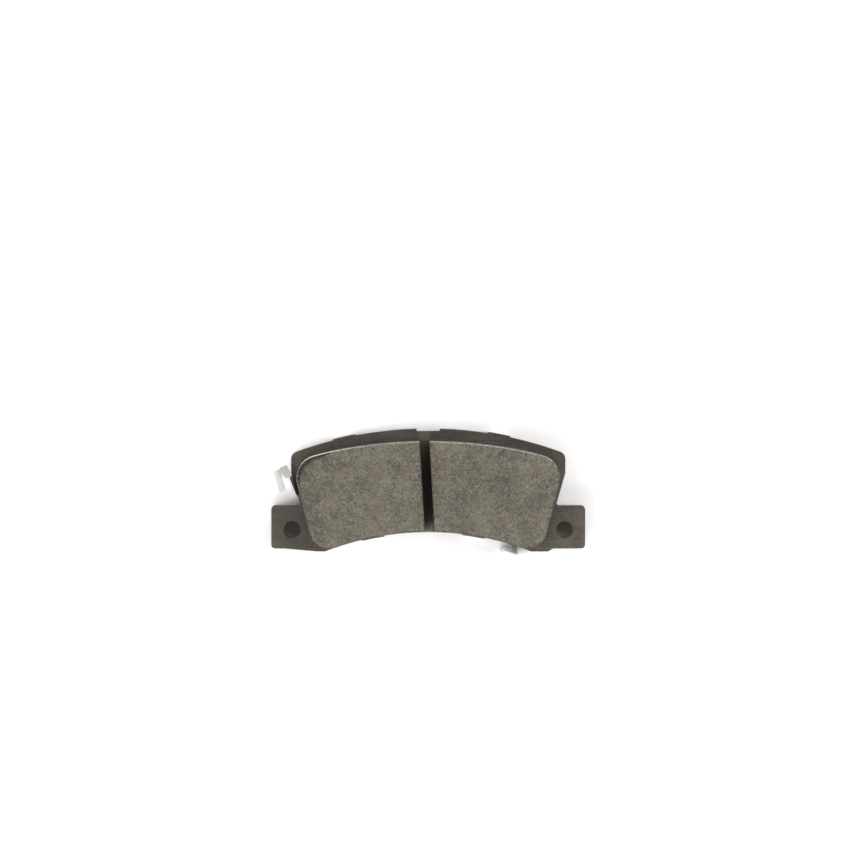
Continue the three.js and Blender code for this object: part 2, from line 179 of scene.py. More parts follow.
def finish_piece(piece, node, material):
    """Gives a piece its finish, and lets it stand for its node on the pad's one body."""
    piece.data.materials.clear()
    piece.data.materials.append(material)
    for polygon in piece.data.polygons:
        polygon.material_index = 0
    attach(piece, "root")
    if node:
        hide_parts(node)
    print(piece.name, len(piece.data.polygons), "faces")
    return piece


# %% [markdown]
# ## Building with nodes
# A finish is a small network: patterns in, one shader out. Writing the same dozen lines for every
# network hides what is particular to each, so a little workbench makes nodes and links in one
# call. The finishes, the geometry trees and the sky all use it.

# %% A workbench for nodes
class Workbench:
    """A node network under construction. Most methods add one node and return its output."""

    def __init__(self, network):
        self.network = network

    def put(self, socket, value):
        """Links a socket to an output, or sets its plain value."""
        if isinstance(value, bpy.types.NodeSocket):
            self.network.links.new(value, socket)
        elif value is not None:
            socket.default_value = value

    def add(self, kind, settings=None, **inputs):
        """Adds a node, sets its properties, and fills inputs by name or by number (_0, _1)."""
        node = self.network.nodes.new(kind)
        for key, value in (settings or {}).items():
            setattr(node, key, value)
        for key, value in inputs.items():
            index = int(key[1:]) if key[1:].isdigit() else key.replace("_", " ")
            self.put(node.inputs[index], value)
        return node

    def math(self, operation, first, second=None, third=None):
        """Arithmetic on one to three numbers."""
        settings = {"operation": operation}
        return self.add("ShaderNodeMath", settings, _0=first, _1=second, _2=third).outputs[0]

    def vector(self, operation, first, second=None, **plain):
        """Vector arithmetic. A dot product or a distance is a plain number."""
        settings = {"operation": operation}
        node = self.add("ShaderNodeVectorMath", settings, _0=first, _1=second, **plain)
        return node.outputs["Value" if operation in ("DOT_PRODUCT", "DISTANCE") else "Vector"]

    def parts(self, vector):
        """A vector's X, Y and Z."""
        return self.add("ShaderNodeSeparateXYZ", _0=vector).outputs

    def step(self, value, low, high, to_low=0.0, to_high=1.0, shape="SMOOTHSTEP"):
        """A smooth step from one value to another, or a straight one with the shape LINEAR."""
        node = self.add("ShaderNodeMapRange", {"interpolation_type": shape})
        for socket, given in zip(node.inputs, (value, low, high, to_low, to_high)):
            self.put(socket, given)
        return node.outputs["Result"]


# %% [markdown]
# ## Patterns for finishes
# All patterns read Object coordinates turned into millimetres, so a scale of 2 simply means two
# grains to the millimetre, and a pattern keeps its size whatever the piece.

# %% A workbench for finishes
class Finish(Workbench):
    """A material under construction."""

    def __init__(self, name):
        self.material = bpy.data.materials.new(name)
        self.material.use_nodes = True
        super().__init__(self.material.node_tree)
        place = self.add("ShaderNodeTexCoord").outputs["Object"]
        self.mm = self.vector("SCALE", place, Scale=1 / MM)

    def noise(self, scale, detail=3.0, roughness=0.5, stretch=None, at=(0, 0, 0)):
        """Fractal noise from 0 to 1. Stretch divides the pattern's frequency along each axis."""
        place = self.vector("ADD", self.mm, at)
        if stretch:
            place = self.vector("MULTIPLY", place, [1 / s for s in stretch])
        node = self.add(
            "ShaderNodeTexNoise", Vector=place, Scale=scale, Detail=detail, Roughness=roughness)
        return node.outputs["Fac"]

    def cells(self, scale, at=(0, 0, 0)):
        """Random grains: the distance to each grain's middle, and a random number for each."""
        place = self.vector("ADD", self.mm, at)
        node = self.add("ShaderNodeTexVoronoi", Vector=place, Scale=scale)
        pick = self.add("ShaderNodeSeparateColor", _0=node.outputs["Color"])
        return node.outputs["Distance"], pick.outputs[0]

    def blend(self, share, first, second):
        """Mixes two colours by a share from 0 to 1."""
        node = self.add("ShaderNodeMix", {"data_type": "RGBA"}, Factor=share)
        sockets = [socket for socket in node.inputs if socket.type == "RGBA"]
        for socket, colour in zip(sockets, (first, second)):
            self.put(socket, (*colour, 1) if isinstance(colour, tuple) else colour)
        return next(socket for socket in node.outputs if socket.type == "RGBA")

    def patches(self, colour, pattern, edge, amount, tone):
        """Lays a tone over a colour where a pattern passes an edge, given as (none, full)."""
        return self.blend(self.step(pattern, *edge, 0, amount), colour, tone)

    def attribute(self, name):
        """A number that is stored on the mesh."""
        return self.add("ShaderNodeAttribute", {"attribute_name": name}).outputs["Fac"]

    def facing(self, axis):
        """How far the surface faces along an axis: 1 fully, 0 at a right angle to it."""
        return self.parts(self.add("ShaderNodeTexCoord").outputs["Normal"])[axis]

    def bump(self, height, distance, strength=1.0, before=None):
        """A surface direction from a height of so many millimetres, on top of one before it."""
        node = self.add(
            "ShaderNodeBump", Strength=strength, Distance=distance * MM, Height=height, Normal=before)
        return node.outputs["Normal"]

    def done(self, colour, roughness, normal=None, metallic=0.0, **plain):
        """Connects the shader and returns the material."""
        shader = self.network.nodes["Principled BSDF"].inputs
        for name, value in (
                ("Base Color", colour), ("Roughness", roughness), ("Metallic", metallic),
                ("Normal", normal), *plain.items()):
            self.put(shader[name.replace("_", " ")], value)
        return self.material


def along_slot(finish, half_width):
    """A band along the slot's line, 1 on the line and 0 beyond its half width in millimetres."""
    across = (SLOT_LINE.y, -SLOT_LINE.x, 0)
    side = finish.vector("DOT_PRODUCT", finish.mm, across)
    offset = Vector(across).to_2d().dot(SLOT_TOP / MM)
    distance = finish.math("ABSOLUTE", finish.math("SUBTRACT", side, offset))
    full = half_width * 0.55
    return finish.step(distance, half_width, full)


# %% [markdown]
# ## The plate's coating
# The plate is fine-blanked steel under a thin dark phosphate and paint film. Close up the film is
# never one colour: it is blotched by heat from moulding, scuffed along the plate by handling, and
# rubbed to a paler tone on its rounded edges. A cutting wheel ran out over it at both ends of the
# slot and left a paler streak. The blanked side walls show fine vertical drag lines.

# %% Plate finish
EAR_START = (42.0, 50.0)  # distance from the middle where handling wear begins and is full
PAD_REACH = 60.0  # from the pad's middle to just past its ears
COATING = {
    "deep": (0.044, 0.038, 0.034),
    "faded": (0.069, 0.062, 0.057),
    # paler ear tone: rubbed in patches, and painted light that rises towards the right end
    "rubbed and lit ear": (0.103, 0.087, 0.070),
    "pale speck": (0.108, 0.096, 0.085),
    "dark speck": (0.021, 0.017, 0.015),
    "scuff": (0.123, 0.111, 0.096),
    "rust": (0.070, 0.044, 0.032),
    "olive": (0.079, 0.073, 0.054),
    "cutter's streak": (0.128, 0.120, 0.084),
    "bare edge": (0.290, 0.282, 0.268),
}


def ear_wear_and_light(f):
    """Where the ears are rubbed paler, in patches, with a rise towards the pad's right end that is
    painted light from the right.
    """
    across = f.parts(f.mm)["X"]
    ears = f.step(f.math("ABSOLUTE", across), *EAR_START)
    # painted light: the paler tone rises from the pad's left end to its right end
    rubbed = f.math("MULTIPLY", ears, f.step(across, -PAD_REACH, PAD_REACH, 0.42, 0.85))
    return f.math("MULTIPLY", rubbed, f.step(f.noise(0.3, 4, 0.65, (2.2, 0.7, 1)), 0.25, 0.6))


def plate_finish():
    """Painted steel: blotched, scuffed, rubbed on its edges, with drag lines on its walls."""
    f = Finish("plate_coating")
    blotches = f.noise(0.16, 4, 0.6)
    grain = f.noise(1.6, 4, 0.65)
    scuffs = f.noise(0.75, 4, 0.7, stretch=(9, 0.6, 0.6))
    rust = f.noise(0.26, 5, 0.75, at=(17, 3, 0))
    olive = f.noise(0.30, 5, 0.75, at=(3, 47, 0))
    streak = f.math("MULTIPLY", along_slot(f, 3.0), f.noise(1.1, 4, 0.7, stretch=(3, 1, 1)))
    colour = f.blend(f.step(blotches, 0.3, 0.7), COATING["deep"], COATING["faded"])
    colour = f.blend(ear_wear_and_light(f), colour, COATING["rubbed and lit ear"])
    colour = f.patches(colour, grain, (0.50, 0.68), 0.8, COATING["pale speck"])
    colour = f.patches(colour, grain, (0.48, 0.30), 0.75, COATING["dark speck"])
    colour = f.patches(colour, scuffs, (0.52, 0.68), 0.7, COATING["scuff"])
    colour = f.patches(colour, rust, (0.46, 0.66), 0.6, COATING["rust"])
    colour = f.patches(colour, olive, (0.50, 0.66), 0.6, COATING["olive"])
    colour = f.patches(colour, streak, (0.15, 0.75), 0.8, COATING["cutter's streak"])
    lean = f.math("ABSOLUTE", f.facing("Z"))
    edge = f.math("MULTIPLY", f.step(lean, 0.12, 0.4), f.step(lean, 0.99, 0.8))
    worn = f.math("MULTIPLY", edge, f.step(f.noise(0.8, 4, 0.7, at=(5, 0, 9)), 0.32, 0.56))
    colour = f.blend(worn, colour, COATING["bare edge"])
    drag = f.noise(2.6, 3, 0.6, stretch=(1, 1, 14))
    wall = f.step(lean, 0.3, 0.1)
    relief = f.math("ADD", f.math("MULTIPLY", drag, wall), f.math("MULTIPLY", grain, 0.55))
    normal = f.bump(relief, 0.05, 0.8)
    normal = f.bump(f.noise(0.5, 3, 0.5), 0.09, 0.5, normal)
    roughness = f.step(f.math("ADD", scuffs, f.math("MULTIPLY", grain, 0.4)), 0.4, 0.95, 0.52, 0.8)
    return f.done(colour, roughness, normal, 0.25, Specular_IOR_Level=0.45)


PLATE_COATING = plate_finish()
print(PLATE_COATING.name, len(PLATE_COATING.node_tree.nodes), "nodes")

# %% [markdown]
# ## The friction mix
# The lining is a pressed mix of resin, barytes, graphite, coke, rubber crumb and metal powder. Its
# ground face is a grey-brown field, mottled at every size from clouds of a centimetre down to
# specks. Five noises, each about twice as fine as the last, are added with a weight each: this
# gives a control for every size of mottle. Two cellular patterns pick single grains: pale mineral,
# black coke, and a few rusty or greenish ones. Broken places are painted darker, as broken material
# and as shade in the chips' hollows. The rim that faces the outer arc gets a painted pale highlight,
# stronger where it was scraped. Where those are comes with the mesh, as attributes.

# %% Lining finish
MOTTLES = (  # grains to the millimetre, weight, shift in millimetres
    (0.09, 0.34, (0, 0, 0)),
    (0.22, 0.18, (31, 5, 2)),
    (0.50, 0.25, (7, 60, 1)),
    (1.10, 0.37, (12, 3, 9)),
    (2.40, 0.55, (5, 8, 40)),
)
MOTTLE_MIDDLE = sum(weight for _, weight, _ in MOTTLES) / 2
MOTTLE_REACH = 0.15  # from the middle of the sum to its darkest and palest tone
MIX = {
    "dark field": (0.047, 0.041, 0.032),
    "pale field": (0.154, 0.141, 0.110),
    "warm cloud": (0.109, 0.084, 0.063),
    "cool cloud": (0.086, 0.090, 0.068),
    # darker tone of the chips: broken material, and painted shade in their hollows
    "broken": (0.030, 0.026, 0.025),
    "dark wall": (0.073, 0.066, 0.053),
    "pale wall": (0.122, 0.112, 0.093),
    # painted highlight: a pale tone laid on the rim that faces the main softbox
    "painted edge highlight": (0.93, 0.90, 0.86),
}
# Each kind of grain: least and greatest random number, opacity, tone.
SMALL_GRAINS = (
    (0.02, 0.12, 0.42, (0.030, 0.028, 0.026)),
    (0.30, 0.40, 0.45, (0.207, 0.195, 0.164)),
    (0.60, 0.63, 0.5, (0.122, 0.064, 0.041)),
)
LARGE_GRAINS = (
    (0.05, 0.10, 0.60, (0.036, 0.032, 0.028)),
    (0.46, 0.50, 0.35, (0.195, 0.188, 0.164)),
    (0.70, 0.73, 0.4, (0.104, 0.106, 0.067)),
    (0.86, 0.88, 0.45, (0.106, 0.070, 0.051)),
)
PICK_EDGE = 0.004  # soft ends of a range of random numbers


def grains(f, colour, scale, at, kinds):
    """Paints grains of several kinds, and returns each grain's distance and random number too."""
    distance, pick = f.cells(scale, at)
    body = f.step(distance, 0.62, 0.30)
    for low, high, share, tone in kinds:
        above = f.step(pick, low - PICK_EDGE, low)
        inside = f.math("MULTIPLY", above, f.step(pick, high + PICK_EDGE, high))
        colour = f.blend(f.math("MULTIPLY", f.math("MULTIPLY", inside, body), share), colour, tone)
    return colour, distance, pick


def painted_edge_highlight(f, up):
    """Painted highlight on the rim: where it is rounded, faces the outer arc and the main softbox, and
    more where it was scraped.
    """
    edge = f.math("MULTIPLY", f.step(f.attribute("rim"), 0.75, 0.35), f.step(up, 0.99, 0.92))
    edge = f.math("MULTIPLY", edge, f.step(f.noise(0.7, 3, 0.6, at=(2, 2, 70)), 0.25, 0.5, 0.4, 1))
    facing = f.step(f.facing("Y"), 0.35, 0.75)
    highlight_strength = f.math("ADD", 0.5, f.math("MULTIPLY", f.attribute("scraped"), 0.5))
    return f.math("MULTIPLY", f.math("MULTIPLY", edge, facing), highlight_strength)


def lining_finish():
    """The mottled friction mix, with its grains, broken places darkened with painted shade, walls and
    painted rim highlight.
    """
    f = Finish("friction_mix")
    mottle = 0.0
    for scale, weight, at in MOTTLES:
        mottle = f.math("ADD", f.math("MULTIPLY", f.noise(scale, 1.5, 0.5, at=at), weight), mottle)
    ends = (MOTTLE_MIDDLE - MOTTLE_REACH, MOTTLE_MIDDLE + MOTTLE_REACH)
    share = f.step(mottle, *ends, shape="LINEAR")
    warm = f.noise(0.17, 3, 0.6, at=(40, 11, 2))
    cool = f.noise(0.15, 3, 0.6, at=(9, 71, 2))
    colour = f.blend(share, MIX["dark field"], MIX["pale field"])
    colour = f.patches(colour, warm, (0.50, 0.68), 0.5, MIX["warm cloud"])
    colour = f.patches(colour, cool, (0.50, 0.68), 0.35, MIX["cool cloud"])
    colour, small_distance, small_pick = grains(f, colour, 2.6, (3, 8, 1), SMALL_GRAINS)
    colour, large_distance, large_pick = grains(f, colour, 1.05, (0, 0, 0), LARGE_GRAINS)
    # the chips are painted darker: broken material, and painted shade in their hollows
    colour = f.blend(f.math("MULTIPLY", f.attribute("chipped"), 0.8), colour, MIX["broken"])
    up = f.facing("Z")
    wall = f.step(up, 0.55, 0.25)
    drag = f.noise(1.5, 3, 0.6, stretch=(1, 1, 8), at=(3, 3, 3))
    skin = f.blend(f.step(drag, 0.35, 0.65), MIX["dark wall"], MIX["pale wall"])
    colour = f.blend(f.math("MULTIPLY", wall, 0.75), colour, skin)
    # painted highlight along the rim that faces the outer arc and the main softbox
    glint = painted_edge_highlight(f, up)
    colour = f.blend(glint, colour, MIX["painted edge highlight"])
    fine = f.math("MULTIPLY", f.noise(4.5, 4, 0.7), 0.6)
    normal = f.bump(f.math("ADD", fine, f.math("MULTIPLY", small_distance, 0.5)), 0.04, 0.8)
    pits = f.math("MULTIPLY", f.step(large_pick, 0.93, 0.95), f.step(large_distance, 0.5, 0.25))
    normal = f.bump(f.math("MULTIPLY", pits, -1), 0.12, 0.8, normal)
    rough = f.step(small_pick, 0.3, 0.42, 0.93, 0.76)
    roughness = f.math("SUBTRACT", rough, f.math("MULTIPLY", glint, 0.45))
    return f.done(colour, roughness, normal, 0.0, Specular_IOR_Level=0.4)


FRICTION_MIX = lining_finish()
print(FRICTION_MIX.name, len(FRICTION_MIX.node_tree.nodes), "nodes")

# %% [markdown]
# ## Underlayer, rubber and metals
# The underlayer is the same kind of moulding with more resin: darker, finer and duller. The shims
# are a rubber film and rolled steel. Rolled sheet keeps the lines of the rolls, so its noise is
# stretched along the pad and its highlights run across. Spring steel is brighter, with faint
# polishing lines and a few handling marks, and it is painted darker around a fold, as shade on
# the bent arm.

# %% Underlayer and rubber
RESIN = {
    "dark": (0.041, 0.032, 0.027),
    "pale": (0.084, 0.070, 0.059),
    "dust": (0.079, 0.072, 0.061),
    # pale tone at the slot's foot: dust, and painted light where light reaches the slot's floor
    "dust and lit slot floor": (0.230, 0.216, 0.180),
}
RESIN_GRAINS = (
    (0.04, 0.10, 0.6, (0.115, 0.108, 0.090)),
    (0.5, 0.6, 0.7, (0.022, 0.020, 0.019)),
)
# where the pale tone of dust and painted light rises towards the slot's foot, in millimetres
DUST_AND_LIGHT_END = (SLOT_FOOT.y / MM + 5.0, SLOT_FOOT.y / MM + 1.0)


def underlayer_finish():
    """Dark resin with a few grains, cutting dust along the slot, and a pale tone towards the slot's
    foot: dust and painted light on the slot's floor.
    """
    f = Finish("underlayer_resin")
    fine = f.noise(3.6, 4, 0.7)
    colour = f.blend(f.step(fine, 0.3, 0.75), RESIN["dark"], RESIN["pale"])
    colour, distance, _ = grains(f, colour, 2.2, (1, 2, 3), RESIN_GRAINS)
    dust = f.math("MULTIPLY", along_slot(f, 2.6), f.step(f.noise(1.4, 3, 0.6), 0.3, 0.7, 0.3, 1))
    # dust and painted light: the slot's floor is paler towards its open foot
    dust_and_light = f.math("MULTIPLY", dust, f.step(f.parts(f.mm)["Y"], *DUST_AND_LIGHT_END))
    colour = f.blend(f.math("MULTIPLY", dust, 0.35), colour, RESIN["dust"])
    colour = f.blend(f.math("MULTIPLY", dust_and_light, 0.9), colour, RESIN["dust and lit slot floor"])
    normal = f.bump(f.math("ADD", fine, f.math("MULTIPLY", distance, 0.5)), 0.07, 0.9)
    return f.done(colour, 0.9, normal, 0.0, Specular_IOR_Level=0.3)


def rubber_finish():
    """A black film with a fine grain."""
    f = Finish("shim_rubber_film")
    fine = f.noise(5.0, 3, 0.6)
    colour = f.blend(f.step(fine, 0.3, 0.7), (0.010, 0.010, 0.011), (0.022, 0.022, 0.024))
    return f.done(colour, f.step(fine, 0.3, 0.7, 0.6, 0.85), f.bump(fine, 0.02, 0.6))


UNDERLAYER_RESIN = underlayer_finish()
RUBBER_FILM = rubber_finish()
print("dust from", [round(y, 1) for y in DUST_AND_LIGHT_END], "mm")

# %% Metals
SIDE_LOW, SIDE_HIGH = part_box("side_wear_indicator")
FOLD_INSET = Vector((4.6, -1.4, 0)) * MM  # from the feeler's upper outer corner to its fold
SIDE_FOLD = (Vector((SIDE_LOW.x, SIDE_HIGH.y, SIDE_HIGH.z)) + FOLD_INSET) / MM
FOLD_REACH = 4.2  # radius of the painted shade around the fold, in millimetres
# how much darker the painted shade around the fold is
FOLD_SHADE = 0.50


def rolled_finish(name, tones, lines, rough, bump, metallic=1.0, ior=1.5, folds=()):
    """Rolled metal. Lines stretches the marks of the rolls, and folds lists places painted darker, as
    shade on a bent arm.
    """
    f = Finish(name)
    dark, bright = tones
    rolls = f.noise(1.7, 4, 0.6, stretch=lines)
    clouds = f.noise(0.12, 3, 0.5)
    marks = f.step(f.noise(0.9, 4, 0.75, at=(9, 4, 0)), 0.62, 0.72)
    share = f.math("ADD", f.math("MULTIPLY", rolls, 0.65), f.math("MULTIPLY", clouds, 0.35))
    colour = f.blend(f.step(share, 0.3, 0.7), dark, bright)
    colour = f.blend(f.math("MULTIPLY", marks, 0.35), colour, tuple(0.55 * c for c in dark))
    # painted shade: the bent arm around each fold is darker
    for place in folds:
        gap = f.vector("DISTANCE", f.mm, place)
        edge = (FOLD_REACH, 0.6 * FOLD_REACH)
        colour = f.patches(colour, gap, edge, FOLD_SHADE, tuple(0.45 * c for c in dark))
    wear = f.math("ADD", share, f.math("MULTIPLY", marks, 0.4))
    return f.done(colour, f.step(wear, 0.3, 0.9, *rough), f.bump(rolls, bump, 0.7), metallic, IOR=ior)


STAINLESS = rolled_finish(
    "rolled_stainless", tones=((0.36, 0.36, 0.355), (0.56, 0.56, 0.55)),
    lines=(14, 0.35, 1), rough=(0.28, 0.5), bump=0.012)
PLATED = rolled_finish(
    "zinc_plated_steel", tones=((0.38, 0.38, 0.36), (0.55, 0.55, 0.52)),
    lines=(3, 3, 1), rough=(0.3, 0.5), bump=0.01)
SPRING_STEEL = rolled_finish(
    "bright_spring_steel", tones=((0.66, 0.66, 0.645), (0.86, 0.86, 0.85)),
    lines=(0.8, 5, 1), rough=(0.3, 0.45), bump=0.008, metallic=0.15, ior=2.0, folds=(SIDE_FOLD,))
print("fold at", tuple(round(c, 1) for c in SIDE_FOLD), "mm")
print("finishes:", [material.name for material in bpy.data.materials])

# %% [markdown]
# ## The backing plate
# A press blanks the plate from 5 mm strip in one stroke. The punch side gets a soft rolled-over
# edge and the holes get a small lead. Copying the frame's solid and rounding its edges gives
# exactly that, and keeps every hole where the caliper needs it.

# %% Backing plate
PLATE_EDGE = 0.35 * MM
plate = soften(as_object(cad_solid("backing_plate"), "pressed_plate"), PLATE_EDGE, 3)
finish_piece(plate, "backing_plate", PLATE_COATING)

# %% [markdown]
# ## The underlayer
# The underlayer is pressed between plate and lining and squeezes into the plate's holes. Its edge
# is a thin moulded band with a soft, slightly wavy line. A light bevel and the grain of its finish
# are enough at its 1.5 mm height.

# %% Underlayer
UNDERLAYER_EDGE = 0.18 * MM
bed = soften(as_object(cad_solid("underlayer"), "moulded_underlayer"), UNDERLAYER_EDGE, 2)
finish_piece(bed, "underlayer", UNDERLAYER_RESIN)

# %% [markdown]
# ## A dense mesh for the friction blocks
# The face of a block needs thousands of points before it can carry grains and chips, and its rim
# needs them closest together. The outline is read from the frame's block, spaced evenly, and
# stepped inwards in rings that follow a small worn-off edge. Points on a slightly shaken
# honeycomb fill the rest, and a Delaunay triangulation joins them, so no row of faces lines up
# with the light. Every point keeps its distance from the rim for later.

# %% Outline of a block
SPACING = 0.45
# Each ring: distance inside the rim, and how far it lies below the face.
RINGS = ((0.0, 0.38), (0.07, 0.18), (0.20, 0.05), (0.40, 0.0), (0.70, 0.0), (1.10, 0.0))


def top_outline(node):
    """The outline of a node's top face, counter-clockwise, in millimetres."""
    solid = cad_solid(node)
    top = max(v.co.z for v in solid.verts)
    on_top = {v for v in solid.verts if abs(v.co.z - top) < MERGE}
    follows = {}
    for face in solid.faces:
        if face.normal.z > 0.9:
            for loop in face.loops:
                other = loop.link_loop_radial_next.face
                if other.normal.z < 0.9 and loop.vert in on_top:
                    follows[loop.vert] = loop.link_loop_next.vert
    start = min(follows, key=lambda v: (v.co.x, v.co.y))
    path, at = [], start
    while not path or at != start:
        path.append((at.co.x / MM, at.co.y / MM))
        at = follows[at]
    solid.free()
    return path


def spaced(path, spacing):
    """Points along a closed path no further apart than a spacing, corners kept."""
    points = []
    for (x0, y0), (x1, y1) in zip(path, path[1:] + path[:1]):
        count = max(1, math.ceil(math.hypot(x1 - x0, y1 - y0) / spacing))
        points += [(x0 + (x1 - x0) * i / count, y0 + (y1 - y0) * i / count) for i in range(count)]
    return points


def inset(points, distance):
    """Moves each point of a counter-clockwise outline inwards, across its corner."""
    moved = []
    for i, here in enumerate(points):
        before, after = points[i - 1], points[(i + 1) % len(points)]
        a = Vector((before[1] - here[1], here[0] - before[0])).normalized()
        b = Vector((here[1] - after[1], after[0] - here[0])).normalized()
        push = (a + b) * (distance / (1 + a.dot(b)))
        moved.append((here[0] + push.x, here[1] + push.y))
    return moved


print("left block:", len(spaced(top_outline("friction_block_left"), SPACING)), "rim points")

# %% Fill a block's face and walls
HONEYCOMB = 0.55
ROW = math.sqrt(0.75)  # height of a honeycomb row, in spacings
SHAKE = 0.13
FACE_GAP = 0.02 * MM  # keeps grains that stand proud under the block's nominal height
WALL_ROWS = 14
WALL_CROWDING = 1.25
RIM_REACH = 4.0


def rim_distance(points, path):
    """Distance of each point from a closed path, and whether it is inside, by arrays."""
    p = np.array(points)[:, None, :]
    a = np.array(path)[None, :, :]
    b = np.roll(a, -1, axis=1)
    along = b - a
    share = np.clip(((p - a) * along).sum(2) / (along**2).sum(2), 0, 1)
    distance = np.sqrt((((a + share[..., None] * along) - p) ** 2).sum(2)).min(1)
    crosses = (a[..., 1] > p[..., 1]) != (b[..., 1] > p[..., 1])
    rise = np.where(along[..., 1] == 0, 1e-12, along[..., 1])
    reach = a[..., 0] + (p[..., 1] - a[..., 1]) / rise * along[..., 0]
    return distance, ((crosses & (p[..., 0] < reach)).sum(1) % 2) == 1


def honeycomb(path, seed):
    """Shaken honeycomb points inside a path and clear of its rings."""
    shaken = random.Random(seed)
    xs, ys = [p[0] for p in path], [p[1] for p in path]
    rows = int((max(ys) - min(ys)) / (HONEYCOMB * ROW))
    columns = int((max(xs) - min(xs)) / HONEYCOMB)
    spots = [
        (min(xs) + (c + 0.5 * (r % 2)) * HONEYCOMB + shaken.uniform(-SHAKE, SHAKE),
         min(ys) + r * HONEYCOMB * ROW + shaken.uniform(-SHAKE, SHAKE))
        for r in range(rows + 1)
        for c in range(columns + 1)
    ]
    distance, inside = rim_distance(spots, path)
    keep = inside & (distance > RINGS[-1][0] + 0.8 * HONEYCOMB)
    return [spot for spot, kept in zip(spots, keep) if kept]


def block_mesh(node, name, seed):
    """A closed block: rings and honeycomb on top, rows down the walls, one face below."""
    path = top_outline(node)
    rim = spaced(path, SPACING)
    count = len(rim)
    flat = [point for offset, _ in RINGS for point in inset(rim, offset)]
    flat += honeycomb(rim, seed)
    edges = [(i, (i + 1) % count) for i in range(count)]
    made = geometry.delaunay_2d_cdt([Vector(p) for p in flat], edges, [], 1, 1e-7)
    spots, faces, origins = made[0], made[2], made[3]
    distance, _ = rim_distance([tuple(s) for s in spots], rim)
    drops = np.interp(distance, [r[0] for r in RINGS], [r[1] for r in RINGS])
    top, low = FACE_Z - FACE_GAP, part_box(node)[0].z
    solid = bmesh.new()
    layer = solid.verts.layers.float.new("rim")
    points = []
    for spot, drop, far in zip(spots, drops, distance):
        vertex = solid.verts.new((spot.x * MM, spot.y * MM, top - drop * MM))
        vertex[layer] = min(far, RIM_REACH)
        points.append(vertex)
    for face in faces:
        solid.faces.new([points[i] for i in face])
    home = {origin: i for i, found in enumerate(origins) for origin in found}
    above = [points[home[i]] for i in range(count)]
    wall_top = top - RINGS[0][1] * MM
    for row in range(1, WALL_ROWS + 1):
        z = wall_top + (low - wall_top) * (row / WALL_ROWS) ** WALL_CROWDING
        below = [solid.verts.new((v.co.x, v.co.y, z)) for v in above]
        for i, vertex in enumerate(below):
            vertex[layer] = min((wall_top - z) / MM, RIM_REACH)
            j = (i + 1) % count
            solid.faces.new((above[i], below[i], below[j], above[j]))
        above = below
    solid.faces.new(list(reversed(above)))
    bmesh.ops.recalc_face_normals(solid, faces=solid.faces)
    return as_object(solid, name)


# %% [markdown]
# ## Wearing the surface with Geometry Nodes
# A pressed and ground face is not flat: grains stand a few hundredths proud, pores are open, and
# bits break off along the rim. That is a rule on a surface, which suits Geometry Nodes. Two noises
# push points inwards along their normals, and a third breaks chips out where the stored rim
# distance is small. A corner that was knocked gets more chips: its place and reach are inputs.

# %% A workbench for trees
class Tree(Workbench):
    """A geometry node tree under construction, with named inputs."""

    def __init__(self, name, inputs):
        super().__init__(bpy.data.node_groups.new(name, "GeometryNodeTree"))
        face = self.network.interface
        face.new_socket("Geometry", in_out="INPUT", socket_type="NodeSocketGeometry")
        for label, kind in inputs.items():
            face.new_socket(label, in_out="INPUT", socket_type="NodeSocket" + kind)
        face.new_socket("Geometry", in_out="OUTPUT", socket_type="NodeSocketGeometry")
        self.given = self.add("NodeGroupInput").outputs
        self.result = self.add("NodeGroupOutput").inputs["Geometry"]


def run_tree(piece, tree, values, name=None):
    """Runs a tree on a piece. The result is a new piece when it has a name."""
    modifier = piece.modifiers.new("nodes", "NODES")
    modifier.node_group = tree.network
    for item in tree.network.interface.items_tree:
        if item.in_out == "INPUT" and item.name in values:
            modifier[item.identifier] = values[item.name]
    return placed(name, modified(piece)) if name else settle(piece)


# %% The wear tree
BOND_LINE = BED_Z + 0.1 * MM  # the foot of the walls stays bonded to the underlayer


